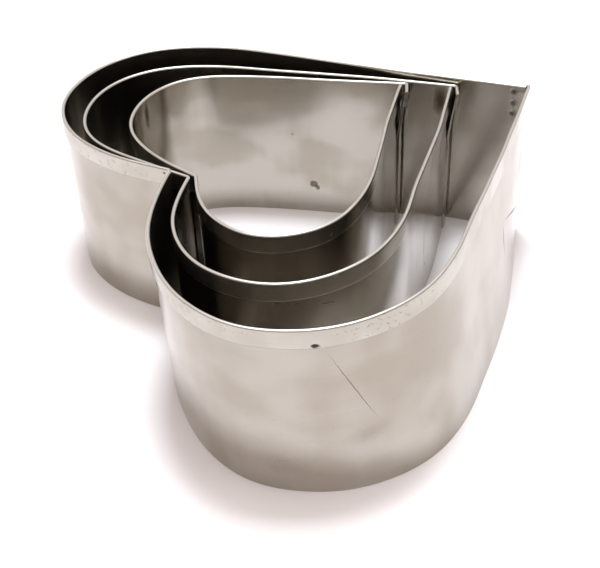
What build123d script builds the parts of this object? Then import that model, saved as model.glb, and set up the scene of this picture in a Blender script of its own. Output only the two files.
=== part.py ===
from build123d import *
from math import cos, radians, sin, sqrt
import os

# A nested set of three open heart-shaped cutters, millimetres, +Z up.
# Each cutter is one strip of steel, folded at the cleft of the heart and lapped at its tip.
# Its rim is hemmed over to the outside, and its lower edge is the plain cutting edge.
# The set stands on the cutting edges, and the origin is the bottom centre of its box.

# Strip of steel
SHEET = 0.4                 # thickness
HEM = 4.0                   # how far the rim is folded down outside
HEM_THICKNESS = 2 * SHEET

# Large cutter, over its inner face
LARGE_REACH = 83.1          # cleft to tip
LARGE_NOTCH = 15.6          # how far the lobes pass the cleft
LARGE_WIDTH = 115.5
LARGE_HEIGHT = 38.4
LEG_SPRING = 5.1            # how far its front leg is sprung out at the cutting edge

# Medium cutter, against the large one
MEDIUM_REACH_STEP = 16.0    # shorter from cleft to tip
MEDIUM_NOTCH = 13.2
MEDIUM_WIDTH_STEP = 23.0    # narrower
MEDIUM_HEIGHT_STEP = 1.4    # lower

# Small cutter, against the medium one
SMALL_REACH_STEP = 9.3
SMALL_NOTCH = 6.7
SMALL_WIDTH_STEP = 24.6
SMALL_HEIGHT_STEP = 0.05

# Nesting: each inner cutter leans on the back of the one round it, at cleft and tip
NEST_CLEARANCE = 0.35
MEDIUM_SLACK = 2.8          # more room than that on the front side of the cleft
SMALL_SLACK = 0.2
WIDEST_TURN = 45.0          # degrees, where the search for the turn starts
TURN_STEP = 0.01

# Lap at the tip
LAP_FIT = 0.12              # gap in the closed part of the lap, and at the other leg's butt end
FLANGE = 4.2                # end of an inner cutter's strip, bent back outside the other leg
LARGE_FLANGE = 6.4
LAP_DEPTH = 12.0            # a lap is closed from this far below the rim
LAP_OPEN = 0.6              # gap at the rim of an inner cutter's lap
LARGE_LAP_OPEN = 0.15
LAP_SPLAY = 10.0            # degrees that an inner cutter's flange stands out at the rim
WELD_RADIUS = 0.7           # mark of a spot weld on the inner face
WELD_DEPTH = 0.12
WELD_SETBACK = 2.6          # from the tip, on an inner cutter
LARGE_WELD_SETBACK = 2.9
WELD_DROPS = (17.0, 24.0, 31.0)         # below the rim
LARGE_WELD_DROPS = (1.5, 4.3, 7.0, 26.0)

# Outlines: shares of the whole length and of the width, from cleft to tip
LARGE_BACK_SHARES = [(0.040, 0.124), (0.003, 0.277), (0.085, 0.417), (0.253, 0.478),
                     (0.429, 0.433), (0.573, 0.331), (0.771, 0.174)]
LARGE_FRONT_SHARES = [(0.067, 0.144), (0.039, 0.305), (0.110, 0.454), (0.280, 0.521),
                      (0.464, 0.486), (0.607, 0.377), (0.794, 0.202)]
MEDIUM_BACK_SHARES = [(0.084, 0.156), (0.045, 0.288), (0.136, 0.461), (0.294, 0.520),
                      (0.467, 0.473), (0.618, 0.355), (0.808, 0.187)]
MEDIUM_FRONT_SHARES = [(0.041, 0.128), (0.001, 0.285), (0.084, 0.426), (0.254, 0.479),
                       (0.430, 0.438), (0.587, 0.326), (0.792, 0.173)]
SMALL_BACK_SHARES = [(0.083, 0.204), (0.131, 0.391), (0.268, 0.512), (0.452, 0.535),
                     (0.610, 0.438), (0.796, 0.232)]
SMALL_FRONT_SHARES = [(0.007, 0.179), (0.035, 0.366), (0.189, 0.457), (0.370, 0.432),
                      (0.530, 0.340), (0.749, 0.174)]
# How much of the spring each point of the large front half takes, cleft to tip
SPRING_SHARES = [0, -0.20, -0.35, -0.10, 0.38, 0.82, 1.0, 0.86, 0]


def cross(a, b):
    """Sine of the angle from one flat direction to another."""
    return a.X * b.Y - a.Y * b.X


def left(direction):
    """The direction a quarter turn to the left."""
    return Vector(-direction.Y, direction.X)


def turned(point, degrees):
    """A flat point turned about the origin."""
    c = cos(radians(degrees))
    s = sin(radians(degrees))
    return Vector(point.X * c - point.Y * s, point.X * s + point.Y * c)


def mirrored(direction, chord):
    """The direction at the other end of an arc over the chord."""
    along = chord.normalized()
    return along * (2 * along.dot(direction)) - direction


def halfway(start, start_run, end, end_run):
    """Where two arcs meet that join two points, each leaving its point as given."""
    span = end - start
    runs = start_run + end_run
    bend = 2 * (1 - start_run.dot(end_run))
    reach = span.dot(runs)
    arm = (sqrt(reach * reach + bend * span.dot(span)) - reach) / bend
    first = start + start_run * arm
    second = end - end_run * arm
    return (first + second) * (1 / 2), (second - first).normalized()


def arc_joints(points):
    """Points and directions where the arcs of a smooth curve through the points meet."""
    runs = []
    for i in range(1, len(points) - 1):
        before = points[i] - points[i - 1]
        after = points[i + 1] - points[i]
        run = before * (1 / before.dot(before)) + after * (1 / after.dot(after))
        runs.append(run.normalized())
    runs.insert(0, mirrored(runs[0], points[1] - points[0]))
    runs.append(mirrored(runs[-1], points[-1] - points[-2]))
    joints = [(points[0], runs[0])]
    for i in range(len(points) - 1):
        joints.append(halfway(points[i], runs[i], points[i + 1], runs[i + 1]))
        joints.append((points[i + 1], runs[i + 1]))
    return joints


def arcs(joints, offset):
    """The curve's arcs, moved to lie offset to its left."""
    moved = [point + left(run) * offset for point, run in joints]
    return [TangentArc(moved[i], moved[i + 1], tangent=joints[i][1])
            for i in range(len(joints) - 1)]


class Heart:
    """One cutter, with its cleft at the origin and its tip on +X."""

    def __init__(self, reach, notch, width, height, back_shares, front_shares):
        self.reach = reach
        self.notch = notch
        self.width = width
        self.height = height
        self.tip = Vector(reach, 0)
        self.back_points = self.half(back_shares, width)
        self.front_points = self.half(front_shares, -width)
        self.spring_shares = [0] * len(self.front_points)
        self.wrap_back = True
        self.flange = FLANGE
        self.lap_open = LAP_OPEN
        self.lap_splay = LAP_SPLAY
        self.weld_setback = WELD_SETBACK
        self.weld_drops = WELD_DROPS
        self.cleft = Vector(0, 0)
        self.turn = 0

    def half(self, shares, width):
        """Points of half the outline, from cleft to tip."""
        length = self.reach + self.notch
        middle = [Vector(along * length - self.notch, across * width) for along, across in shares]
        return [Vector(0, 0), *middle, self.tip]

    def back(self):
        """Back half of the inner face, the same at every height."""
        return arc_joints(self.back_points)

    def front(self, z):
        """Front half of the inner face, sprung out more towards the cutting edge."""
        moved = []
        for i, point in enumerate(self.front_points):
            before = self.front_points[max(i - 1, 0)]
            after = self.front_points[min(i + 1, len(self.front_points) - 1)]
            spring = self.spring_shares[i] * LEG_SPRING * (1 - z / self.height)
            moved.append(point - left((after - before).normalized()) * spring)
        return arc_joints(moved)

    def legs(self, z):
        """The leg whose strip wraps round the tip, the leg that it covers, and the side of both."""
        if self.wrap_back:
            return self.back(), self.front(z), 1
        return self.front(z), self.back(), -1

    def lap_corners(self, z, thickness):
        """Corners of the strip's end: beside the tip, then back outside the covered leg."""
        gap = self.lap_gap(z)
        wrap, covered, side = self.legs(z)
        along = wrap[-1][1]
        last = arcs(covered, 0)[-1]
        cover = (self.tip - last @ (1 - self.flange / last.length)).normalized()
        corner = self.tip + along * (gap / abs(cross(along, cover)))
        splayed = turned(cover, self.splay(z) * side)
        outer_corner = corner + (along + splayed) * (thickness / abs(cross(along, splayed)))
        end = corner - splayed * self.flange
        return [corner, end, end - left(splayed) * (side * thickness), outer_corner,
                self.tip + left(along) * (side * thickness)]

    def splay(self, z):
        """Degrees that the flange stands out from the covered leg."""
        return self.lap_splay * max(0, z - (self.height - LAP_DEPTH)) / LAP_DEPTH

    def lap_gap(self, z):
        """From the covered leg's inner face to the flange, which stands open towards the rim."""
        closed = SHEET + LAP_FIT
        rim = HEM_THICKNESS + self.lap_open
        hem = closed + (rim - closed) * (LAP_DEPTH - HEM) / LAP_DEPTH
        hem = max(hem, HEM_THICKNESS + LAP_FIT)
        above_hem = z - (self.height - HEM)
        above_closed = z - (self.height - LAP_DEPTH)
        if above_hem > 0:
            return hem + (rim - hem) * above_hem / HEM
        if above_closed > 0:
            return closed + (hem - closed) * above_closed / (LAP_DEPTH - HEM)
        return closed

    def section(self, z, thickness):
        """The whole strip at one height."""
        wrap, covered, side = self.legs(z)
        wrap_run = wrap[0][1]
        butt_run = covered[0][1]
        fold = (wrap_run + butt_run) * (thickness / abs(cross(wrap_run, butt_run)))
        along = wrap[-1][1]
        end, run = covered[-1]
        fit = run * (LAP_FIT / abs(cross(along, run)))
        corner = end + along * (thickness / abs(cross(along, run))) - fit
        butt = [*covered[:-1], (end - fit, run)]
        butt_back = [*covered[:-1], (corner + left(run) * (side * thickness), run)]
        wrap_inside = arcs(wrap, 0)
        butt_inside = arcs(butt, 0)
        wrap_outside = arcs(wrap, side * thickness)
        butt_outside = arcs(butt_back, -side * thickness)
        wrap_outside[0] = TangentArc(wrap_outside[0] @ 1, fold, tangent=-(wrap_outside[0] % 1))
        butt_outside[0] = TangentArc(butt_outside[0] @ 1, fold, tangent=-(butt_outside[0] % 1))
        corners = [wrap[-1][0], *self.lap_corners(z, thickness)]
        lines = [Line(corners[i], corners[i + 1]) for i in range(len(corners) - 1)]
        lines.append(Line(butt_inside[-1] @ 1, butt_outside[-1] @ 1))
        edges = [*butt_inside, *wrap_inside, *lines, *wrap_outside, *butt_outside]
        return Pos(0, 0, z) * Face(Wire(edges))

    def strip(self):
        """The bent strip in three stages: closed lap, opening lap, hemmed rim."""
        closed_top = self.height - LAP_DEPTH
        hem_low = self.height - HEM
        stages = [(0, closed_top, SHEET), (closed_top, hem_low, SHEET),
                  (hem_low, self.height, HEM_THICKNESS)]
        body = Part()
        for low, high, thickness in stages:
            ends = [self.section(low, thickness), self.section(high, thickness)]
            body += loft(ends, ruled=True)
        return body

    def welds(self):
        """Spot welds: nuggets across the lap, and balls for the marks on the inner face."""
        ball = (WELD_RADIUS ** 2 + WELD_DEPTH ** 2) / (2 * WELD_DEPTH)
        nuggets = Part()
        marks = []
        for drop in self.weld_drops:
            z = self.height - drop
            covered, side = self.legs(z)[1:]
            last = arcs(covered, 0)[-1]
            share = 1 - self.weld_setback / last.length
            outward = left(last % share) * -side
            inside = last @ share + Vector(0, 0, z)
            nugget = Cylinder(WELD_RADIUS, self.lap_gap(z),
                              align=(Align.CENTER, Align.CENTER, Align.MIN))
            nuggets += Plane(origin=inside + outward * (SHEET / 2), z_dir=outward) * nugget
            marks.append(Pos(inside + outward * (WELD_DEPTH - ball)) * Sphere(ball))
        return nuggets, marks

    def solid(self):
        """The whole cutter in its place in the set."""
        nuggets, marks = self.welds()
        body = self.strip() + nuggets
        for mark in marks:
            body -= mark
        return Pos(self.cleft.X, self.cleft.Y, 0) * Rot(0, 0, self.turn) * body

    def nest_in(self, outer, slack):
        """Lean on the back of the outer cutter at its cleft, then turn until the tip is clear."""
        room = HEM_THICKNESS + NEST_CLEARANCE
        back = arcs(self.back(), 0)[0]
        front = arcs(self.front(self.height), 0)[0]
        back_run = (back @ ((room + slack) / back.length)).normalized()
        front_run = (front @ (room / front.length)).normalized()
        seat = back_run * (room + slack) + front_run * room
        seat = seat * (1 / abs(cross(back_run, front_run)))
        corner = self.lap_corners(self.height, HEM_THICKNESS)[-2]
        wall = Wire(arcs(outer.back(), 0))
        end, run = outer.back()[-1]
        low = 0
        high = WIDEST_TURN
        while high - low > TURN_STEP:
            turn = (low + high) / 2
            tip_room = clear_of(wall, end, run, turned(self.tip - seat, turn)) - HEM_THICKNESS
            corner_room = clear_of(wall, end, run, turned(corner - seat, turn))
            if min(tip_room, corner_room) > NEST_CLEARANCE:
                low = turn
            else:
                high = turn
        self.cleft = outer.cleft - turned(turned(seat, low), outer.turn)
        self.turn = outer.turn + low


def clear_of(wall, end, run, point):
    """Distance of a point inside the wall that ends at end with run, negative outside it."""
    distance = wall.distance_to(Vertex(point.X, point.Y, 0))
    return distance if cross(run, point - end) < 0 else -distance


def hearts():
    """The three cutters, each nested in the one before it."""
    large = Heart(LARGE_REACH, LARGE_NOTCH, LARGE_WIDTH, LARGE_HEIGHT,
                  LARGE_BACK_SHARES, LARGE_FRONT_SHARES)
    large.spring_shares = SPRING_SHARES
    large.wrap_back = False
    large.flange = LARGE_FLANGE
    large.lap_open = LARGE_LAP_OPEN
    large.lap_splay = 0
    large.weld_setback = LARGE_WELD_SETBACK
    large.weld_drops = LARGE_WELD_DROPS
    medium = Heart(large.reach - MEDIUM_REACH_STEP, MEDIUM_NOTCH,
                   large.width - MEDIUM_WIDTH_STEP, large.height - MEDIUM_HEIGHT_STEP,
                   MEDIUM_BACK_SHARES, MEDIUM_FRONT_SHARES)
    medium.nest_in(large, MEDIUM_SLACK)
    small = Heart(medium.reach - SMALL_REACH_STEP, SMALL_NOTCH,
                  medium.width - SMALL_WIDTH_STEP, medium.height - SMALL_HEIGHT_STEP,
                  SMALL_BACK_SHARES, SMALL_FRONT_SHARES)
    small.nest_in(medium, SMALL_SLACK)
    return large, medium, small


def main():
    """Build the set, move its bottom centre to the origin and write one file per cutter."""
    os.makedirs("parts", exist_ok=True)
    names = ("large_heart_cutter", "medium_heart_cutter", "small_heart_cutter")
    cutters = hearts()
    solids = [heart.solid() for heart in cutters]
    box = solids[0].bounding_box()
    for solid in solids[1:]:
        box = box.add(solid.bounding_box())
    middle = box.center()
    for name, heart, solid in zip(names, cutters, solids):
        placed = Pos(-middle.X, -middle.Y, -box.min.Z) * solid
        placed.label = name
        export_step(placed, f"parts/{name}.step")
        print(name, "cleft", heart.cleft - middle, "turn", round(heart.turn, 2))
    print("large cutter's cleft lies at", -middle.X, -middle.Y)


main()
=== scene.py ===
"""Looks of a nest of three open heart-shaped cutters, each bent from one stainless steel strip."""
import logging
from dataclasses import dataclass, field
from enum import Enum
from math import atan2, cos, pi, radians, sin, tan
from typing import Any, Mapping, Sequence

import bmesh
import bpy
import numpy as np
from mathutils import Matrix, Vector


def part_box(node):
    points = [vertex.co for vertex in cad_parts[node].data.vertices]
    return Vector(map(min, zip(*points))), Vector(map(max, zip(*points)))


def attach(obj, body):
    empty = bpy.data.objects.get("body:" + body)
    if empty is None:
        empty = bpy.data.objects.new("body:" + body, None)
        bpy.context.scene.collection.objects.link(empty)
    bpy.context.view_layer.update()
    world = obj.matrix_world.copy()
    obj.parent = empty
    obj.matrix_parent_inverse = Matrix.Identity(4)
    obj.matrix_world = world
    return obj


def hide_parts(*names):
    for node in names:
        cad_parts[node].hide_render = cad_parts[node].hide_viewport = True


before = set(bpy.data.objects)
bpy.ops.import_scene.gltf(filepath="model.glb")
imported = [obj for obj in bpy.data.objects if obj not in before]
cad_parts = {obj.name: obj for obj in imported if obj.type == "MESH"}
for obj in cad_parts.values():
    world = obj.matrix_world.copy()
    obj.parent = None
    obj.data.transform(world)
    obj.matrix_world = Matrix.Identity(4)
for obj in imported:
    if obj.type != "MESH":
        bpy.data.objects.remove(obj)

LOG = logging.getLogger("cutters")
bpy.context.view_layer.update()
MM = 0.001                  # metres in a millimetre
UV_MM = 0.01                # texture units in a millimetre of strip
UV_NAME = "strip"

Array = np.ndarray
Pair = tuple[float, float]
Colour = tuple[float, float, float, float]


class Leg(Enum):
    """Half of a heart, as the side of its axis that it lies on."""

    BACK = 1
    FRONT = -1

    def other(self) -> "Leg":
        """The other half of the same heart."""
        return Leg.FRONT if self is Leg.BACK else Leg.BACK


class Zone(Enum):
    """Part of the strip's section, as the number of its material."""

    WALL = 0
    HEM = 1
    FOLD = 2
    CUT = 3


class Stain(Enum):
    """What a mark is made of, or the painted shade it stands for: its sRGB colour, how strongly it
    covers, and how soft its rim is.
    """

    SOOT = ("#2A211D", 0.9, 0.5)
    BURN = ("#544A3C", 0.7, 0.8)
    SCRATCH = ("#5A5048", 0.55, 0.6)
    # heat tint round the welds, and the same tint as painted shade in the large tip's inside corner
    HEAT = ("#77664C", 0.4, 0.9)
    SMUDGE = ("#6A5A48", 0.7, 0.35)
    RUST = ("#55421F", 0.85, 0.9)
    BLOOM = ("#877F75", 0.3, 1.0)


def linear(colour: str) -> Colour:
    """Turn an sRGB hex colour into linear light.

    Args:
        colour: six hex digits after a hash.

    Returns:
        Linear red, green and blue, and a full alpha.
    """
    parts = [int(colour[i:i + 2], 16) / 255 for i in (1, 3, 5)]
    red, green, blue = (p / 12.92 if p <= 0.04045 else ((p + 0.055) / 1.055) ** 2.4 for p in parts)
    return red, green, blue, 1.0


def add_node(tree: bpy.types.NodeTree, kind: str, settings: Mapping[str, Any],
             inputs: Mapping[Any, Any]) -> bpy.types.Node:
    """Add a node with its settings, values and links.

    Args:
        tree: node tree that gets the node.
        kind: type name of the node.
        settings: properties of the node.
        inputs: sockets by name or number, each with a value or the socket that feeds it.

    Returns:
        The new node.
    """
    node = tree.nodes.new(kind)
    for name, value in settings.items():
        setattr(node, name, value)
    for name, value in inputs.items():
        if isinstance(value, bpy.types.NodeSocket):
            tree.links.new(value, node.inputs[name])
        else:
            node.inputs[name].default_value = value
    return node


def across(a: Array, b: Array) -> float:
    """Sine of the turn from one flat direction to another."""
    return float(a[0] * b[1] - a[1] * b[0])


def smooth_curve(points: Array, shares: Array) -> tuple[Array, Array]:
    """Follow one smooth curve through points, with no bend at its two ends.

    Args:
        points: places that the curve passes, one row each.
        shares: places asked for, from 0 at the first point to 1 at the last.

    Returns:
        The places, and the unit directions there.
    """
    steps = np.hypot(*np.diff(points, axis=0).T)
    knots = np.concatenate([[0.0], np.cumsum(steps)])
    slopes = np.diff(points, axis=0) / steps[:, None]
    system = np.eye(len(points))
    right = np.zeros((len(points), 2))
    for i in range(1, len(points) - 1):
        system[i, i - 1:i + 2] = steps[i - 1], 2 * (steps[i - 1] + steps[i]), steps[i]
        right[i] = 6 * (slopes[i] - slopes[i - 1])
    bends = np.linalg.solve(system, right)
    at = np.clip(shares, 0, 1) * knots[-1]
    i = np.clip(np.searchsorted(knots, at, side="right") - 1, 0, len(steps) - 1)
    width = steps[i][:, None]
    past = (at - knots[i])[:, None]
    left = width - past
    low, high = bends[i], bends[i + 1]
    start = points[i] / width - low * width / 6
    end = points[i + 1] / width - high * width / 6
    places = (low * left ** 3 + high * past ** 3) / (6 * width) + start * left + end * past
    runs = (high * past ** 2 - low * left ** 2) / (2 * width) - start + end
    return places, runs / np.hypot(*runs.T)[:, None]


def wander(seed: int, distance: Array, step: float) -> Array:
    """A smooth random line.

    Args:
        seed: number of the line.
        distance: where the line is asked for.
        step: distance between its turns.

    Returns:
        Values from -1 to 1.
    """
    turns = np.random.default_rng(seed).uniform(-1, 1, int(distance.max() / step) + 3)
    at = distance / step
    low = at.astype(int)
    share = at - low
    share = share * share * (3 - 2 * share)
    return turns[low] * (1 - share) + turns[low + 1] * share


@dataclass(frozen=True)
class Mark:
    """An ellipse on the strip that is stained, burnt, scratched or darkened as painted shade, in
    millimetres and degrees.

    The place runs along the strip from its butt end, and up from the cutting edge. The tilt
    lifts the end that is further along.
    """

    along: float
    up: float
    half_length: float
    half_width: float
    stain: Stain
    tilt: float = 0.0
    outside: bool = True


SEED_SHIFT = (131.0, 57.0)      # millimetres that a pattern moves from one seed to the next
BLOTCH_FLATNESS = 0.7           # height of a blotch of film over its length
BAND_STRETCH = (0.3, 6.0)       # length and height of an upright band over a blotch's length
BAND_SHARE = 0.2                # how much of the film lies in bands
CLOUD_RANGE = (0.3, 0.7)        # pattern values of the smoothest and the roughest steel
STAINED_ROUGHNESS = 0.6
GRAIN_RANGE = (0.25, 0.75)      # pattern values of the darkest and the lightest rolling lines
GRAIN_LIGHT = (0.98, 1.01)      # and how light those are
SMEAR_TURN = 0.25               # of a full turn, so that the lines smear what they reflect across
SPECK_COLOUR = "#4A3C33"
SPECK_PATCH = (22.0, 30.0)      # length and height of a patch of specks, in millimetres
SPECK_PATCH_RANGE = (0.36, 0.55)    # pattern values between which specks fade in
CRACK_WIDTH = 0.06              # as a share of a cell
CRACK_PIECE = 0.5               # length of an unbroken piece of crack, in cells
CRACK_BREAKS = (0.56, 0.66)     # pattern values between which a crack fades in
TORN_PATCH = (0.9, 0.9)         # notches in the rim of a mark, in millimetres
TORN_DEPTH = 0.5                # how far the rim strays in all, in millimetres


@dataclass(frozen=True)
class SteelFinish:
    """Stainless steel of the 18/8 kind, with a surface that was made one way.

    Lengths are in millimetres. Shares go from 0 to 1.
    """

    name: str
    steel: str
    film: str
    film_share: float
    cloud: float
    roughness: Pair
    grain: Pair
    grain_depth: float
    peel: float
    peel_depth: float
    speck: float
    speck_share: float
    anisotropy: float
    metallic: float = 1.0

    def material(self, label: str, seed: int, edge: float, marks: Sequence[tuple[Mark, float]]
                 ) -> bpy.types.Material:
        """Make the finish as a material.

        Args:
            label: piece that wears it.
            seed: number that moves the pattern from piece to piece.
            edge: how softly the clouds of film end, from 0 to 0.5.
            marks: marks with their places round the section.

        Returns:
            The material.
        """
        material = bpy.data.materials.new(f"{self.name}_{label}")
        material.use_nodes = True
        tree = material.node_tree
        tree.nodes.clear()
        uv = add_node(tree, "ShaderNodeUVMap", {"uv_map": UV_NAME}, {})
        in_mm = add_node(tree, "ShaderNodeVectorMath", {"operation": "SCALE"},
                         {0: uv.outputs[0], "Scale": 1 / UV_MM}).outputs[0]
        moved = add_node(tree, "ShaderNodeVectorMath", {"operation": "ADD"},
                         {0: in_mm, 1: (seed * SEED_SHIFT[0], seed * SEED_SHIFT[1], 0.0)}).outputs[0]
        grain = self.noise(tree, moved, self.grain, detail=3.0)
        blotch = (self.cloud, self.cloud * BLOTCH_FLATNESS)
        blotches = self.noise(tree, moved, blotch, detail=2.0)
        band = (self.cloud * BAND_STRETCH[0], self.cloud * BAND_STRETCH[1])
        bands = self.noise(tree, moved, band, detail=2.0)
        clouds = add_node(tree, "ShaderNodeMix", {"data_type": "FLOAT"},
                          {"Factor": BAND_SHARE, "A": blotches, "B": bands}).outputs[0]
        peel = self.noise(tree, moved, (self.peel, self.peel), detail=1.0)
        colour = self.filmed(tree, clouds, grain, edge)
        colour = self.specked(tree, moved, colour)
        colour, bare = self.marked(tree, in_mm, colour, marks)
        rough = add_node(tree, "ShaderNodeMapRange", {},
                         {"Value": clouds, "From Min": CLOUD_RANGE[0], "From Max": CLOUD_RANGE[1],
                          "To Min": self.roughness[0], "To Max": self.roughness[1]})
        rough = add_node(tree, "ShaderNodeMix", {"data_type": "FLOAT"},
                         {"Factor": bare, "A": STAINED_ROUGHNESS, "B": rough.outputs[0]})
        coarse = add_node(tree, "ShaderNodeBump", {},
                          {"Height": peel, "Strength": 1.0, "Distance": self.peel_depth * MM})
        fine = add_node(tree, "ShaderNodeBump", {},
                        {"Height": grain, "Strength": 1.0, "Distance": self.grain_depth * MM,
                         "Normal": coarse.outputs[0]})
        along = add_node(tree, "ShaderNodeTangent", {"direction_type": "UV_MAP", "uv_map": UV_NAME}, {})
        shader = add_node(tree, "ShaderNodeBsdfPrincipled", {},
                          {"Base Color": colour, "Metallic": self.metallic,
                           "Roughness": rough.outputs[0], "Normal": fine.outputs[0],
                           "Anisotropic": self.anisotropy, "Anisotropic Rotation": SMEAR_TURN,
                           "Tangent": along.outputs[0]})
        add_node(tree, "ShaderNodeOutputMaterial", {}, {"Surface": shader.outputs[0]})
        return material

    def noise(self, tree: bpy.types.NodeTree, place: bpy.types.NodeSocket, size: Pair,
              detail: float) -> bpy.types.NodeSocket:
        """Add soft noise.

        Args:
            tree: node tree of the material.
            place: place on the strip in millimetres.
            size: length and height of a patch in millimetres.
            detail: how many finer patterns lie on the coarsest.

        Returns:
            Value socket from 0 to 1.
        """
        scaled = add_node(tree, "ShaderNodeVectorMath", {"operation": "DIVIDE"},
                          {0: place, 1: (size[0], size[1], 1.0)})
        return add_node(tree, "ShaderNodeTexNoise", {"noise_dimensions": "2D"},
                        {"Vector": scaled.outputs[0], "Scale": 1.0, "Detail": detail}).outputs[0]

    def filmed(self, tree: bpy.types.NodeTree, clouds: bpy.types.NodeSocket,
               grain: bpy.types.NodeSocket, edge: float) -> bpy.types.NodeSocket:
        """Colour of the steel under a thin film in clouds, with lighter and darker rolling lines.

        Args:
            tree: node tree of the material.
            clouds: cloud pattern.
            grain: rolling lines.
            edge: how softly the clouds end.

        Returns:
            Colour socket.
        """
        share = add_node(tree, "ShaderNodeMapRange", {"interpolation_type": "SMOOTHSTEP"},
                         {"Value": clouds, "From Min": 0.5 - edge, "From Max": 0.5 + edge,
                          "To Min": 0.0, "To Max": self.film_share})
        film = add_node(tree, "ShaderNodeMix", {"data_type": "RGBA"},
                        {"Factor": share.outputs[0], 6: linear(self.steel), 7: linear(self.film)})
        light = add_node(tree, "ShaderNodeMapRange", {},
                         {"Value": grain, "From Min": GRAIN_RANGE[0], "From Max": GRAIN_RANGE[1],
                          "To Min": GRAIN_LIGHT[0], "To Max": GRAIN_LIGHT[1]})
        return add_node(tree, "ShaderNodeVectorMath", {"operation": "SCALE"},
                        {0: film.outputs[2], "Scale": light.outputs[0]}).outputs[0]

    def specked(self, tree: bpy.types.NodeTree, place: bpy.types.NodeSocket,
                colour: bpy.types.NodeSocket) -> bpy.types.NodeSocket:
        """Add small dark specks and crackle lines, gathered in patches.

        Args:
            tree: node tree of the material.
            place: place on the strip in millimetres.
            colour: colour without them.

        Returns:
            Colour socket.
        """
        if not self.speck_share:
            return colour
        patch = self.noise(tree, place, SPECK_PATCH, detail=1.0)
        cells = add_node(tree, "ShaderNodeTexVoronoi",
                         {"voronoi_dimensions": "2D", "feature": "DISTANCE_TO_EDGE"},
                         {"Vector": place, "Scale": 1 / self.speck, "Randomness": 1.0})
        line = add_node(tree, "ShaderNodeMapRange", {},
                        {"Value": cells.outputs["Distance"], "From Min": 0.0, "From Max": CRACK_WIDTH,
                         "To Min": 1.0, "To Max": 0.0})
        piece = self.speck * CRACK_PIECE
        broken = self.noise(tree, place, (piece, piece), detail=2.0)
        kept = add_node(tree, "ShaderNodeMapRange", {"interpolation_type": "SMOOTHSTEP"},
                        {"Value": broken, "From Min": CRACK_BREAKS[0], "From Max": CRACK_BREAKS[1]})
        near = add_node(tree, "ShaderNodeMapRange", {"interpolation_type": "SMOOTHSTEP"},
                        {"Value": patch, "From Min": SPECK_PATCH_RANGE[0],
                         "From Max": SPECK_PATCH_RANGE[1], "To Max": self.speck_share})
        both = add_node(tree, "ShaderNodeMath", {"operation": "MULTIPLY"},
                        {0: line.outputs[0], 1: kept.outputs[0]})
        share = add_node(tree, "ShaderNodeMath", {"operation": "MULTIPLY"},
                         {0: both.outputs[0], 1: near.outputs[0]})
        return add_node(tree, "ShaderNodeMix", {"data_type": "RGBA"},
                        {"Factor": share.outputs[0], 6: colour, 7: linear(SPECK_COLOUR)}).outputs[2]

    def marked(self, tree: bpy.types.NodeTree, place: bpy.types.NodeSocket,
               colour: bpy.types.NodeSocket, marks: Sequence[tuple[Mark, float]]
               ) -> tuple[bpy.types.NodeSocket, Any]:
        """Lay marks over the colour.

        Args:
            tree: node tree of the material.
            place: place on the strip in millimetres.
            colour: colour without them.
            marks: marks with their places round the section.

        Returns:
            Colour socket, and the share of bare steel.
        """
        ragged = self.noise(tree, place, TORN_PATCH, detail=2.0)
        centred = add_node(tree, "ShaderNodeMath", {"operation": "MULTIPLY_ADD"},
                           {0: ragged, 1: TORN_DEPTH, 2: -TORN_DEPTH / 2})
        torn = add_node(tree, "ShaderNodeVectorMath", {"operation": "ADD"},
                        {0: place, 1: centred.outputs[0]}).outputs[0]
        bare: Any = 1.0
        for mark, girth in marks:
            dark, cover, soft = mark.stain.value
            turn = radians(-mark.tilt if mark.outside else mark.tilt)
            local = add_node(tree, "ShaderNodeMapping", {"vector_type": "TEXTURE"},
                             {"Vector": torn, "Location": (mark.along, girth, 0.0),
                              "Rotation": (0.0, 0.0, turn),
                              "Scale": (mark.half_length, mark.half_width, 1.0)})
            away = add_node(tree, "ShaderNodeVectorMath", {"operation": "LENGTH"},
                            {0: local.outputs[0]})
            share = add_node(tree, "ShaderNodeMapRange", {"interpolation_type": "SMOOTHSTEP"},
                             {"Value": away.outputs["Value"], "From Min": 1 - soft,
                              "From Max": 1.0, "To Min": cover, "To Max": 0.0})
            colour = add_node(tree, "ShaderNodeMix", {"data_type": "RGBA"},
                              {"Factor": share.outputs[0], 6: colour, 7: linear(dark)}).outputs[2]
            rest = add_node(tree, "ShaderNodeMath", {"operation": "SUBTRACT"},
                            {0: 1.0, 1: share.outputs[0]}).outputs[0]
            bare = add_node(tree, "ShaderNodeMath", {"operation": "MULTIPLY"},
                            {0: bare, 1: rest}).outputs[0]
        return colour, bare


# Cold-rolled and pickled sheet: a soft mirror, whose fine rolling lines run along the strip and
# smear what it reflects up and down. The lines are really 0.02 mm wide and drawn coarser to show.
ROLLED_WALL = SteelFinish(
    name="cold_rolled_stainless", steel="#B8B3AA", film="#948A7A", film_share=0.46, cloud=22.0,
    roughness=(0.12, 0.22), grain=(26.0, 0.4), grain_depth=0.0003, peel=9.0, peel_depth=0.007,
    speck=2.6, speck_share=0.12, anisotropy=0.45)
# The same sheet pressed flat on itself: paler, with handling specks and small cracks in its film.
PRESSED_HEM = SteelFinish(
    name="pressed_hem_stainless", steel="#C8C5BD", film="#AEA99E", film_share=0.6, cloud=14.0,
    roughness=(0.16, 0.28), grain=(9.0, 0.4), grain_depth=0.0005, peel=4.0, peel_depth=0.008,
    speck=1.5, speck_share=0.85, anisotropy=0.3)
# The fold and the outside of the bend at the tip: a pale satin line, its paler colour a painted
# highlight on top of the light that the round fold catches.
RUBBED_FOLD = SteelFinish(
    name="fold_painted_highlight_stainless", steel="#DDDCD3", film="#CFCCC0", film_share=0.5, cloud=5.0,
    roughness=(0.34, 0.46), grain=(4.0, 0.3), grain_depth=0.003, peel=1.5, peel_depth=0.004,
    speck=2.0, speck_share=0.1, anisotropy=0.0)
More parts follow.
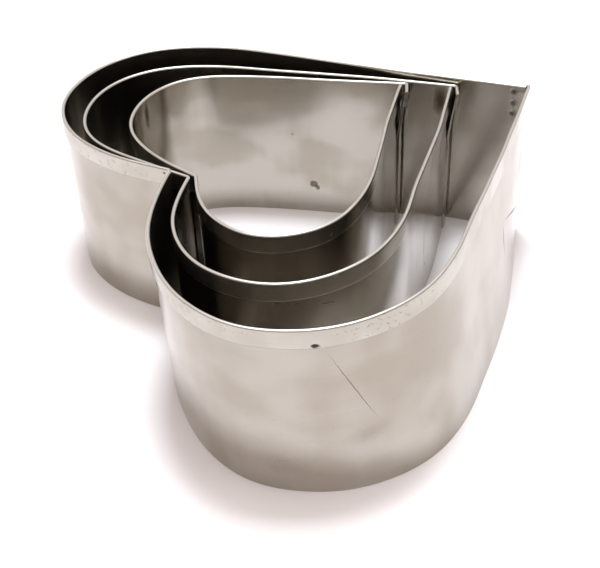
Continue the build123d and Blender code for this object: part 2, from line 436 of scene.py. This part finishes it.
# Sheared sheet: a dull torn face with fine lines across its thickness.
SHEARED_EDGE = SteelFinish(
    name="sheared_edge_stainless", steel="#A6A198", film="#857B6F", film_share=0.5, cloud=2.0,
    roughness=(0.4, 0.55), grain=(0.3, 2.0), grain_depth=0.01, peel=1.0, peel_depth=0.01,
    speck=2.0, speck_share=0.3, anisotropy=0.0)
FINISHES = {Zone.WALL: ROLLED_WALL, Zone.HEM: PRESSED_HEM, Zone.FOLD: RUBBED_FOLD,
            Zone.CUT: SHEARED_EDGE}


@dataclass(frozen=True)
class Strip:
    """Sizes of the steel strip, its hem and its lap, in millimetres."""

    sheet: float = 0.4
    hem: float = 4.0
    butt_gap: float = 0.25
    lap_gap: float = 0.02
    lap_depth: float = 12.0
    feather: Sequence[float] = (0.75, 0.4, 0.12)    # shares of the sheet left at the flange's end
    bend_radius: float = 0.35
    cleft_radius: float = 1.1
    edge_round: float = 0.05
    lip_round: float = 0.12
    lip_wander: float = 0.12
    lip_step: float = 7.0
    fold_keepout: float = 1.8       # columns of the two legs stay this far from the cleft
    station: float = 1.2            # between columns of the mesh
    row: float = 1.4                # between rows on the flat wall
    fine_step: float = 0.22         # between columns and rows beside small features
    fine_reach: float = 1.5         # from the middle of a small feature to its last fine column
    weld_radius: float = 0.7
    weld_depth: float = 0.12
    weld_ring: Pair = (1.6, 1.4)
    weld_core: Pair = (0.75, 0.5)
    weld_sag: float = 0.15          # a burn sits this far below the middle of its weld
    weld_lean: float = 20.0         # degrees
    pit_depth: float = 0.2
    wave: float = 0.06
    wavelengths: Sequence[float] = (17.0, 29.0, 43.0, 67.0)
    calm: float = 9.0               # the waves fade out over this distance to a bend

    @property
    def hem_thickness(self) -> float:
        """Two layers of sheet."""
        return 2 * self.sheet


STRIP = Strip()
FOLD_STEPS = 9
FLANGE_STEPS = 11
LIP_STEPS = 4
WELD_STEPS = 9
WELD_REACH = 1.2                # rows cover this many radii of a weld
WELD_CLEARANCE = 1.3            # and the plain rows stay this many away
LENGTH_STEPS = 400
RUBBED_SHARE = 0.7              # of the half turn of the fold, from the inside, that takes the pale fold finish: painted highlight
SHARP_ANGLE = 34                # degrees


@dataclass(frozen=True)
class Outline:
    """Plan of a heart's inner face in millimetres, cleft at the origin and tip on +X."""

    reach: float
    notch: float
    width: float
    back_shares: Sequence[Pair]
    front_shares: Sequence[Pair]
    spring: float = 0.0
    spring_shares: Sequence[float] = ()

    def points(self, leg: Leg, rise: float) -> Array:
        """Points of half the plan, from cleft to tip.

        Args:
            leg: which half.
            rise: share of the height, because the front half may be sprung out low down.

        Returns:
            One row for each point.
        """
        shares = self.back_shares if leg is Leg.BACK else self.front_shares
        length = self.reach + self.notch
        rows = [(a * length - self.notch, leg.value * b * self.width) for a, b in shares]
        plan = np.array([(0.0, 0.0), *rows, (self.reach, 0.0)])
        if leg is Leg.BACK or not self.spring:
            return plan
        runs = np.vstack([plan[1:], plan[-1:]]) - np.vstack([plan[:1], plan[:-1]])
        runs /= np.hypot(*runs.T)[:, None]
        outward = np.column_stack([runs[:, 1], -runs[:, 0]])
        return plan + outward * (np.array(self.spring_shares) * self.spring * (1 - rise))[:, None]


@dataclass(frozen=True)
class Row:
    """One line along the strip: its height, how far it stands off the inner face, and its dress."""

    height: float
    out: float
    zone: Zone
    inside: bool = False


@dataclass
class HeartCutter:
    """One cutter: a bent strip with a hemmed rim and a lapped, spot-welded tip.

    Lengths are in millimetres, and angles in degrees. The leg that wraps carries the flange.
    """

    name: str
    node: str
    body: str
    outline: Outline
    turn: float
    wraps: Leg
    seed: int
    flange: float = 4.2
    lap_open: float = 0.6
    lap_splay: float = 10.0
    weld_setback: float = 2.6
    weld_drops: Sequence[float] = (17.0, 24.0, 31.0)
    film_edge: float = 0.16
    pit: Mark | None = None
    marks: Sequence[Mark] = ()
    height: float = field(init=False)
    lengths: Pair = field(init=False)
    stations: tuple[Array, Array] = field(init=False)

    def __post_init__(self) -> None:
        """Take the height from the frame, and choose the columns of the mesh."""
        low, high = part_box(self.node)
        self.height = (high.z - low.z) / MM
        covered, wrap = self.wraps.other(), self.wraps
        self.lengths = (self.leg_length(covered), self.leg_length(wrap))
        end = self.lengths[0] - STRIP.fold_keepout
        butt = self.columns(STRIP.butt_gap, end, [self.weld_setback])
        near = [self.pit.along - self.lengths[0]] if self.pit else []
        rest = self.columns(STRIP.fold_keepout, self.lengths[1], near)
        self.stations = (1 - butt / self.lengths[0], rest / self.lengths[1])

    def leg_length(self, leg: Leg) -> float:
        """Length of one leg at the rim."""
        places = smooth_curve(self.outline.points(leg, 1.0), np.linspace(0, 1, LENGTH_STEPS))[0]
        return float(np.hypot(*np.diff(places, axis=0).T).sum())

    def columns(self, low: float, high: float, near: Sequence[float]) -> Array:
        """Places from low to high, closer together beside small features.

        Args:
            low: first place in millimetres.
            high: last place.
            near: middles of the small features.

        Returns:
            Rising places, with the two ends.
        """
        places = np.linspace(low, high, round((high - low) / STRIP.station))
        for middle in near:
            first = max(low, middle - STRIP.fine_reach)
            last = min(high, middle + STRIP.fine_reach)
            places = places[(places <= first) | (places >= last)]
            places = np.concatenate([places, np.arange(first, last, STRIP.fine_step)])
        places = np.sort(places)
        return places[np.concatenate([[True], np.diff(places) > STRIP.fine_step / 3])]

    def lap_reach(self, z: float) -> float:
        """From the covered leg's inner face to the flange at a height.

        Args:
            z: height in millimetres.

        Returns:
            The distance in millimetres, which opens towards the rim.
        """
        closed = STRIP.sheet + STRIP.lap_gap
        rim = STRIP.hem_thickness + self.lap_open
        share = (STRIP.lap_depth - STRIP.hem) / STRIP.lap_depth
        hem = max(closed + (rim - closed) * share, STRIP.hem_thickness + STRIP.lap_gap)
        heights = [self.height - STRIP.lap_depth, self.height - STRIP.hem, self.height]
        return float(np.interp(z, heights, [closed, hem, rim]))

    def path(self, z: float) -> tuple[Array, Array, Array]:
        """The inner face's line at a height, from the butt end to the flange's end.

        Args:
            z: height in millimetres.

        Returns:
            Places, outward directions, and distances along the strip.
        """
        side = self.wraps.value
        halves = [self.outline.points(leg, z / self.height) for leg in (self.wraps.other(), self.wraps)]
        covered, covered_run = smooth_curve(halves[0], self.stations[0])
        wrap, wrap_run = smooth_curve(halves[1], self.stations[1])
        (covered_first, cover), (wrap_first, along) = (
            smooth_curve(half, np.array([0.0, 1.0]))[1] for half in halves)
        covered_out = np.column_stack([covered_run[:, 1], -covered_run[:, 0]]) * side
        wrap_out = np.column_stack([-wrap_run[:, 1], wrap_run[:, 0]]) * side
        covered_out[0] = along / abs(across(along, cover))
        cleft, cleft_out = self.cleft_fold(covered_first, wrap_first)
        lap, lap_out = self.lap(wrap[-1], along, cover, z)
        places = np.vstack([covered, cleft, wrap, lap])
        outward = np.vstack([covered_out, cleft_out, wrap_out, lap_out])
        first, second = self.lengths
        fold_span = np.linspace(-1, 1, len(cleft)) * STRIP.fold_keepout / 2
        lap_steps = np.hypot(*np.diff(np.vstack([wrap[-1:], lap]), axis=0).T)
        distance = np.concatenate([(1 - self.stations[0]) * first, first + fold_span,
                                   first + self.stations[1] * second,
                                   first + second + np.cumsum(lap_steps)])
        return places, outward, distance

    def cleft_fold(self, covered_run: Array, wrap_run: Array) -> tuple[Array, Array]:
        """The tight fold at the cleft.

        Args:
            covered_run: direction of the covered leg from the cleft.
            wrap_run: direction of the wrapping leg from the cleft.

        Returns:
            Places and outward directions.
        """
        side = self.wraps.value
        middle = (covered_run + wrap_run) / np.hypot(*(covered_run + wrap_run))
        half = abs(across(middle, wrap_run))
        centre = middle * (STRIP.cleft_radius / half)
        first = np.array([covered_run[1], -covered_run[0]]) * side
        last = np.array([-wrap_run[1], wrap_run[0]]) * side
        mixes = np.linspace(0, 1, FOLD_STEPS)[:, None]
        outward = first * (1 - mixes) + last * mixes
        outward /= np.hypot(*outward.T)[:, None]
        return centre - outward * STRIP.cleft_radius, outward

    def lap(self, tip: Array, along: Array, cover: Array, z: float) -> tuple[Array, Array]:
        """The strip past the tip: round the bend, and back along the covered leg.

        Args:
            tip: corner of the inner face.
            along: direction of the wrapping leg at the tip.
            cover: direction of the covered leg at the tip.
            z: height in millimetres.

        Returns:
            Places and outward directions.
        """
        radius = STRIP.bend_radius
        corner = tip + along * (self.lap_reach(z) / abs(across(along, cover)))
        share = max(0.0, 1 - (self.height - z) / STRIP.lap_depth)
        splay = radians(self.lap_splay * share) * self.wraps.value
        back = np.array([[cos(splay), -sin(splay)], [sin(splay), cos(splay)]]) @ cover
        turn = pi - atan2(abs(across(along, back)), float(along @ back))
        back_off = radius * tan(turn / 2)
        outward = np.array([-along[1], along[0]]) * self.wraps.value
        centre = corner - along * back_off - outward * radius
        rays = [outward * cos(a) + along * sin(a) for a in np.linspace(0, turn, FOLD_STEPS)]
        arc = [centre + ray * radius for ray in rays]
        steps = np.linspace(0, self.flange - back_off, FLANGE_STEPS + 1)[1:]
        flange = [arc[-1] - back * step for step in steps]
        return np.array(arc + flange), np.array(rays + [rays[-1]] * len(flange))

    def section(self) -> list[Row]:
        """Lines of the section: up the inside, over the fold and down the outside.

        Returns:
            The lines in order, the last of them beside the first.
        """
        top, sheet, thick = self.height, STRIP.sheet, STRIP.hem_thickness
        lip = top - STRIP.hem
        radius = thick / 2
        welds = [top - drop for drop in self.weld_drops]
        inside = np.arange(STRIP.edge_round, top - radius, STRIP.row)
        for weld in welds:
            inside = inside[abs(inside - weld) > STRIP.weld_radius * WELD_CLEARANCE]
            across_weld = np.linspace(-1, 1, WELD_STEPS) * STRIP.weld_radius * WELD_REACH
            inside = np.append(inside, weld + across_weld)
        rows = [Row(z, 0.0, Zone.WALL, True) for z in sorted(inside) if z < top - radius]
        for angle in np.linspace(0, pi, FOLD_STEPS):
            # The inner part of the fold takes the pale fold finish, a painted highlight along the rim.
            zone = Zone.FOLD if angle < pi * RUBBED_SHARE else Zone.HEM
            rows.append(Row(top - radius + radius * sin(angle), radius * (1 - cos(angle)),
                            zone, angle < pi / 2))
        hem = np.arange(top - radius - STRIP.fine_step, lip + STRIP.lip_round * 2, -STRIP.fine_step)
        rows += [Row(z, thick, Zone.HEM) for z in hem]
        soft = STRIP.lip_round
        for angle in np.linspace(0, pi / 2, LIP_STEPS):
            rows.append(Row(lip + soft * (1 - sin(angle)), thick - soft * (1 - cos(angle)), Zone.CUT))
        rows.append(Row(lip, sheet + STRIP.edge_round, Zone.CUT))
        outside = np.arange(lip - STRIP.edge_round, STRIP.edge_round + STRIP.row / 2, -STRIP.row)
        rows += [Row(z, sheet, Zone.WALL) for z in outside]
        rows += [Row(STRIP.edge_round, sheet, Zone.CUT), Row(0.0, sheet - STRIP.edge_round, Zone.CUT),
                 Row(0.0, STRIP.edge_round, Zone.CUT, True)]
        return rows

    def waviness(self, distance: Array, z: float) -> Array:
        """How far the rolled wall wanders from true, outwards.

        Args:
            distance: places along the strip.
            z: height.

        Returns:
            Displacement in millimetres, nought at the lap and at the cleft.
        """
        rng = np.random.default_rng(self.seed)
        total = np.zeros_like(distance)
        for wavelength in STRIP.wavelengths:
            phase, slant = rng.uniform(0, 2 * pi), rng.uniform(-1, 1)
            total += np.sin(2 * pi * distance / wavelength + phase + slant * z / self.height)
        first, second = self.lengths
        still = np.ones_like(distance)
        for place in (0.0, first, first + second):
            still *= 1 - np.exp(-((distance - place) / STRIP.calm) ** 2)
        still[distance > first + second] = 0.0
        return total * still * STRIP.wave / 2

    def dimple(self, distance: Array, z: float, middle: Pair, half: Pair, depth: float) -> Array:
        """Depth of an oval hollow at places along a row.

        Args:
            distance: places along the strip.
            z: height of the row.
            middle: place along and height of the hollow.
            half: half its length and height.
            depth: depth at its middle.

        Returns:
            Depths in millimetres.
        """
        away = ((distance - middle[0]) / half[0]) ** 2 + ((z - middle[1]) / half[1]) ** 2
        return depth * np.clip(1 - away, 0, 1)

    def pressed(self, row: Row, distance: Array) -> Array:
        """How far weld marks and the pit move a row outwards.

        Args:
            row: line of the section.
            distance: places along the strip.

        Returns:
            Displacement in millimetres.
        """
        shift = np.zeros_like(distance)
        if row.inside:
            for drop in self.weld_drops:
                shift += self.dimple(distance, row.height, (self.weld_setback, self.height - drop),
                                     (STRIP.weld_radius, STRIP.weld_radius), STRIP.weld_depth)
        elif self.pit and row.zone is Zone.HEM:
            shift -= self.dimple(distance, row.height, (self.pit.along, self.pit.up),
                                 (self.pit.half_length, self.pit.half_width), STRIP.pit_depth)
        return shift

    def build(self) -> bpy.types.Object:
        """Make the strip as a mesh in its place in the nest.

        Returns:
            The strip, dressed and riding on its body.
        """
        rows = self.section()
        lip = self.height - STRIP.hem
        plans, heights, lengths = [], [], []
        for row in rows:
            places, outward, distance = self.path(row.height)
            out = row.out + self.waviness(distance, row.height) + self.pressed(row, distance)
            if row.height < lip:
                out[-len(STRIP.feather):] *= STRIP.feather
            plans.append(places + outward * out[:, None])
            near_lip = max(0.0, 1 - abs(row.height - lip))
            lip_line = wander(self.seed, distance, STRIP.lip_step)
            heights.append(row.height + lip_line * STRIP.lip_wander * near_lip)
            lengths.append(distance)
        girth = self.girths(rows)
        made = self.mesh(rows, self.placed(np.array(plans), np.array(heights)),
                         np.array(lengths), girth)
        self.dress(made, rows, girth)
        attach(made, self.body)
        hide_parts(self.node)
        return made

    def girths(self, rows: Sequence[Row]) -> Array:
        """Distance of each row round the section, and of the first row again once round."""
        spots = np.array([(row.out, row.height) for row in [*rows, rows[0]]])
        return np.concatenate([[0.0], np.cumsum(np.hypot(*np.diff(spots, axis=0).T))])

    def placed(self, plans: Array, heights: Array) -> Array:
        """Turn the plan as the cutter lies in the nest, and put it in the middle of its CAD box.

        Args:
            plans: flat places by row and station, in millimetres.
            heights: heights by row and station.

        Returns:
            Places in metres.
        """
        cosine, sine = cos(radians(self.turn)), sin(radians(self.turn))
        flat = plans @ np.array([[cosine, sine], [-sine, cosine]]) * MM
        low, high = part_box(self.node)
        middle = np.array([(low.x + high.x) / 2, (low.y + high.y) / 2])
        flat += middle - (flat.min(axis=(0, 1)) + flat.max(axis=(0, 1))) / 2
        return np.dstack([flat, heights * MM])

    def mesh(self, rows: Sequence[Row], places: Array, lengths: Array, girth: Array
             ) -> bpy.types.Object:
        """Join the rows into one closed strip.

        Args:
            rows: lines of the section.
            places: places by row and station.
            lengths: distances along the strip by row and station.
            girth: distance of each row round the section.

        Returns:
            The new object.
        """
        count, length = places.shape[:2]
        index = np.arange(count * length).reshape(count, length)
        faces, zones, uvs = [], [], []
        tip_bend = range(length - FOLD_STEPS - FLANGE_STEPS, length - FLANGE_STEPS - 1)
        for i in range(count):
            j = (i + 1) % count
            for k in range(length - 1):
                faces.append((index[i, k], index[j, k], index[j, k + 1], index[i, k + 1]))
                # The outside of the tip bend takes the pale fold finish too: painted highlight.
                rubbed = k in tip_bend and not rows[i].inside
                zones.append((Zone.FOLD if rubbed else rows[i].zone).value)
                uvs += [(lengths[i, k], girth[i]), (lengths[j, k], girth[i + 1]),
                        (lengths[j, k + 1], girth[i + 1]), (lengths[i, k + 1], girth[i])]
        for k, order in ((0, -1), (length - 1, 1)):
            faces.append(tuple(index[::order, k]))
            zones.append(Zone.CUT.value)
            uvs += [(row.out, row.height) for row in rows[::order]]
        if self.wraps is Leg.FRONT:
            faces, uvs = self.turned_over(faces, uvs)
        mesh = bpy.data.meshes.new(self.name)
        mesh.from_pydata(places.reshape(-1, 3).tolist(), [], [tuple(map(int, f)) for f in faces])
        mesh.polygons.foreach_set("material_index", zones)
        layer = mesh.uv_layers.new(name=UV_NAME)
        layer.data.foreach_set("uv", (np.array(uvs, dtype=np.float32) * UV_MM).ravel())
        self.finish_mesh(mesh)
        made = bpy.data.objects.new(self.name, mesh)
        bpy.context.scene.collection.objects.link(made)
        return made

    def turned_over(self, faces: Sequence[tuple], uvs: Sequence[Pair]) -> tuple[list, list]:
        """Turn faces over, and their texture places with them.

        Args:
            faces: corner numbers of each face.
            uvs: texture place of each corner, face by face.

        Returns:
            The faces and the texture places, each face's corners the other way round.
        """
        turned, start = [], 0
        for face in faces:
            turned += list(uvs[start:start + len(face)])[::-1]
            start += len(face)
        return [face[::-1] for face in faces], turned

    def finish_mesh(self, mesh: bpy.types.Mesh) -> None:
        """Cut the end faces into triangles, and shade the strip smooth up to its edges.

        Args:
            mesh: the strip, closed and unshaded.
        """
        shell = bmesh.new()
        shell.from_mesh(mesh)
        bmesh.ops.triangulate(shell, faces=[face for face in shell.faces if len(face.verts) > 4])
        shell.to_mesh(mesh)
        shell.free()
        mesh.polygons.foreach_set("use_smooth", [True] * len(mesh.polygons))
        mesh.set_sharp_from_angle(angle=radians(SHARP_ANGLE))

    def dress(self, made: bpy.types.Object, rows: Sequence[Row], girth: Array) -> None:
        """Give each zone its finish, with the marks at their places.

        Args:
            made: the strip.
            rows: lines of the section.
            girth: distance of each row round the section.
        """
        marks = [*self.marks, *self.weld_marks()]
        if self.pit:
            marks.append(self.pit)
        sides = {inside: [(row.height, place) for row, place in zip(rows, girth)
                          if row.inside is inside] for inside in (True, False)}
        laid = []
        for mark in marks:
            heights, places = zip(*sorted(sides[not mark.outside]))
            laid.append((mark, float(np.interp(mark.up, heights, places))))
        for zone in Zone:
            worn = laid if zone in (Zone.WALL, Zone.HEM) else []
            finish = FINISHES[zone]
            made.data.materials.append(finish.material(self.body, self.seed, self.film_edge, worn))

    def weld_marks(self) -> list[Mark]:
        """Stains that the spot welding left inside the lap.

        Returns:
            A heat ring round each weld, and a burn in the middle of each.
        """
        spots = [(self.weld_setback, self.height - drop) for drop in self.weld_drops]
        rings = [Mark(x, z, *STRIP.weld_ring, Stain.HEAT, outside=False) for x, z in spots]
        cores = [Mark(x, z - STRIP.weld_sag, *STRIP.weld_core, Stain.BURN, STRIP.weld_lean, False)
                 for x, z in spots]
        return rings + cores


@dataclass(frozen=True)
class SoftBox:
    """A square soft light over the nest. Places and sizes in metres, power in watts."""

    name: str
    place: tuple[float, float, float]
    size: float
    power: float
    colour: str

    def build(self) -> None:
        """Hang the light and aim it at the middle of the table."""
        data = bpy.data.lights.new(self.name, "AREA")
        data.size = self.size
        data.energy = self.power
        data.color = linear(self.colour)[:3]
        lamp = bpy.data.objects.new(self.name, data)
        lamp.location = self.place
        lamp.rotation_mode = "QUATERNION"
        lamp.rotation_quaternion = (-Vector(self.place)).to_track_quat("-Z", "Y")
        bpy.context.scene.collection.objects.link(lamp)


@dataclass(frozen=True)
class PhotoView:
    """The camera, where the photographer held it, in metres and degrees."""

    place: tuple[float, float, float] = (-0.0778, -0.1909, 0.15705)
    heading: Pair = (0.341, 0.940)
    pitch: float = 37.16
    roll: float = 2.56
    lens: float = 67.2              # millimetres
    clip_start: float = 0.01

    def build(self) -> None:
        """Set up the camera and make it the scene's."""
        ahead = Vector((*self.heading, 0.0)).normalized()
        above = Vector((0.0, 0.0, 1.0))
        pitch, roll = radians(self.pitch), radians(self.roll)
        forward = ahead * cos(pitch) - above * sin(pitch)
        level_up = ahead * sin(pitch) + above * cos(pitch)
        level_right = forward.cross(level_up)
        right = level_right * cos(roll) - level_up * sin(roll)
        up = level_right * sin(roll) + level_up * cos(roll)
        data = bpy.data.cameras.new("photo_view")
        data.lens = self.lens
        data.clip_start = self.clip_start
        camera = bpy.data.objects.new("photo_view", data)
        axes = Matrix((right, up, -forward)).transposed()
        camera.matrix_world = Matrix.Translation(self.place) @ axes.to_4x4()
        bpy.context.scene.collection.objects.link(camera)
        bpy.context.scene.camera = camera


@dataclass(frozen=True)
class Studio:
    """A white card table under soft light, with a pale room round it."""

    table_size: float = 1.5
    card: str = "#FBF8F7"
    card_shade: str = "#F8F5F4"
    card_fibre: float = 1.2             # millimetres
    card_roughness: float = 0.9
    card_specular: float = 0.1
    room_low: str = "#FBF1EF"
    room_high: str = "#FAE4E3"
    room_low_light: float = 0.86
    room_high_light: float = 0.38
    room_seam: Pair = (0.45, 0.75)      # heights between which the walls turn into the ceiling
    lamps: Sequence[SoftBox] = (
        SoftBox("back_softbox", (0.072, 0.158, 0.88), 0.18, 5.8, "#EDF4FF"),
        SoftBox("ceiling_panel", (0.0, -0.02, 0.85), 0.5, 3.2, "#FFFCFA"),
    )

    def build(self) -> None:
        """Lay the table, light it and set how light becomes picture values."""
        half = self.table_size / 2
        mesh = bpy.data.meshes.new("white_card")
        mesh.from_pydata([(-half, -half, 0), (half, -half, 0), (half, half, 0), (-half, half, 0)],
                         [], [(0, 1, 2, 3)])
        mesh.materials.append(self.card_material())
        table = bpy.data.objects.new("white_card", mesh)
        bpy.context.scene.collection.objects.link(table)
        self.room()
        for lamp in self.lamps:
            lamp.build()
        bpy.context.scene.view_settings.view_transform = "Standard"

    def card_material(self) -> bpy.types.Material:
        """Matt white card, pressed from pulp: an even white with the faintest cloudiness.

        Returns:
            The material.
        """
        material = bpy.data.materials.new("matt_white_card")
        material.use_nodes = True
        tree = material.node_tree
        tree.nodes.clear()
        place = add_node(tree, "ShaderNodeTexCoord", {}, {})
        fibre = add_node(tree, "ShaderNodeTexNoise", {},
                         {"Vector": place.outputs["Object"], "Scale": 1 / (self.card_fibre * MM),
                          "Detail": 2.0})
        tone = add_node(tree, "ShaderNodeMix", {"data_type": "RGBA"},
                        {"Factor": fibre.outputs[0], 6: linear(self.card), 7: linear(self.card_shade)})
        shader = add_node(tree, "ShaderNodeBsdfPrincipled", {},
                          {"Base Color": tone.outputs[2], "Roughness": self.card_roughness,
                           "Specular IOR Level": self.card_specular})
        add_node(tree, "ShaderNodeOutputMaterial", {}, {"Surface": shader.outputs[0]})
        return material

    def room(self) -> None:
        """Light from the room: bright walls low down, and a dimmer, rosy ceiling."""
        world = bpy.data.worlds.new("pale_room")
        world.use_nodes = True
        tree = world.node_tree
        tree.nodes.clear()
        place = add_node(tree, "ShaderNodeTexCoord", {}, {})
        parts = add_node(tree, "ShaderNodeSeparateXYZ", {}, {0: place.outputs["Generated"]})
        share = add_node(tree, "ShaderNodeMapRange", {"interpolation_type": "SMOOTHSTEP"},
                         {"Value": parts.outputs["Z"], "From Min": self.room_seam[0],
                          "From Max": self.room_seam[1]})
        tone = add_node(tree, "ShaderNodeMix", {"data_type": "RGBA"},
                        {"Factor": share.outputs[0], 6: linear(self.room_low),
                         7: linear(self.room_high)})
        light = add_node(tree, "ShaderNodeMix", {"data_type": "FLOAT"},
                         {"Factor": share.outputs[0], "A": self.room_low_light,
                          "B": self.room_high_light})
        glow = add_node(tree, "ShaderNodeBackground", {},
                        {"Color": tone.outputs[2], "Strength": light.outputs[0]})
        add_node(tree, "ShaderNodeOutputWorld", {}, {"Surface": glow.outputs[0]})
        bpy.context.scene.world = world


LARGE = Outline(
    reach=83.1, notch=15.6, width=115.5,
    back_shares=[(0.040, 0.124), (0.003, 0.277), (0.085, 0.417), (0.253, 0.478), (0.429, 0.433),
                 (0.573, 0.331), (0.771, 0.174)],
    front_shares=[(0.067, 0.144), (0.039, 0.305), (0.110, 0.454), (0.280, 0.521), (0.464, 0.486),
                  (0.607, 0.377), (0.794, 0.202)],
    spring=5.1, spring_shares=[0, -0.20, -0.35, -0.10, 0.38, 0.82, 1.0, 0.86, 0])
MEDIUM = Outline(
    reach=67.1, notch=13.2, width=92.5,
    back_shares=[(0.084, 0.156), (0.045, 0.288), (0.136, 0.461), (0.294, 0.520), (0.467, 0.473),
                 (0.618, 0.355), (0.808, 0.187)],
    front_shares=[(0.041, 0.128), (0.001, 0.285), (0.084, 0.426), (0.254, 0.479), (0.430, 0.438),
                  (0.587, 0.326), (0.792, 0.173)])
SMALL = Outline(
    reach=57.8, notch=6.7, width=67.9,
    back_shares=[(0.083, 0.204), (0.131, 0.391), (0.268, 0.512), (0.452, 0.535), (0.610, 0.438),
                 (0.796, 0.232)],
    front_shares=[(0.007, 0.179), (0.035, 0.366), (0.189, 0.457), (0.370, 0.432), (0.530, 0.340),
                  (0.749, 0.174)])


# Wear that each cutter has picked up: knocks, scratches, stains and drying smears, and painted shade in
# the inside corner of the large cutter's tip.
LARGE_MARKS = (
    Mark(243.7, 24.4, 11.0, 0.14, Stain.SCRATCH, -65.7),
    Mark(166.0, 37.4, 0.4, 0.3, Stain.SOOT),
    Mark(14.2, 31.0, 0.5, 2.4, Stain.BLOOM, outside=False),
    # painted shade: a dark tint just under the rim in the inside corner of the tip, where shade falls
    Mark(1.2, 37.2, 2.2, 1.0, Stain.HEAT, outside=False),
    Mark(245.6, 13.0, 5.5, 3.0, Stain.BLOOM, 12.0),
    Mark(230.5, 6.5, 6.5, 3.0, Stain.BLOOM),
    Mark(320.0, 17.5, 14.0, 0.36, Stain.BURN, -24.0),
    Mark(307.0, 18.3, 5.2, 0.4, Stain.BURN, 90.0),
)
MEDIUM_MARKS = (
    Mark(88.6, 32.4, 1.1, 0.18, Stain.SOOT, -8.0),
    Mark(85.2, 31.9, 0.6, 0.15, Stain.SOOT),
    Mark(79.6, 30.6, 2.0, 0.16, Stain.SCRATCH, 12.0),
    Mark(32.6, 14.5, 6.5, 0.34, Stain.BURN, 84.0),
    Mark(31.3, 8.6, 0.6, 0.6, Stain.BURN),
    Mark(271.3, 33.0, 2.4, 5.4, Stain.RUST, outside=False),
)
SMALL_MARKS = (
    Mark(183.0, 8.1, 1.2, 1.1, Stain.SMUDGE, outside=False),
    Mark(183.9, 7.2, 0.7, 0.9, Stain.SMUDGE, 30.0, False),
    Mark(178.0, 21.9, 0.5, 0.4, Stain.HEAT, outside=False),
    Mark(140.5, 33.0, 1.2, 5.0, Stain.RUST, outside=False),
)


def cutters() -> list[HeartCutter]:
    """List what stands in the nest.

    Returns:
        The three cutters, from the outside of the nest to its middle.
    """
    return [
        HeartCutter("large_heart_strip", "large_heart_cutter", "large", LARGE, turn=0.0,
                    wraps=Leg.FRONT, seed=3, flange=6.4, lap_open=0.15, lap_splay=0.0,
                    weld_setback=2.9, weld_drops=(1.5, 4.3, 7.0, 26.0),
                    pit=Mark(238.0, 35.0, 0.9, 0.45, Stain.SOOT), marks=LARGE_MARKS),
        HeartCutter("medium_heart_strip", "medium_heart_cutter", "medium", MEDIUM, turn=11.02,
                    wraps=Leg.BACK, seed=11, marks=MEDIUM_MARKS),
        HeartCutter("small_heart_strip", "small_heart_cutter", "small", SMALL, turn=19.01,
                    wraps=Leg.BACK, seed=23, film_edge=0.08, marks=SMALL_MARKS),
    ]


def main() -> None:
    """Build the studio, the camera and the three cutters, and log each strip's body and face count."""
    logging.basicConfig(level=logging.INFO, format="%(name)s: %(message)s")
    Studio().build()
    PhotoView().build()
    for cutter in cutters():
        made = cutter.build()
        LOG.info("%s rides on %s, with %d faces", made.name, cutter.body, len(made.data.polygons))


if __name__ == "__main__":
    main()
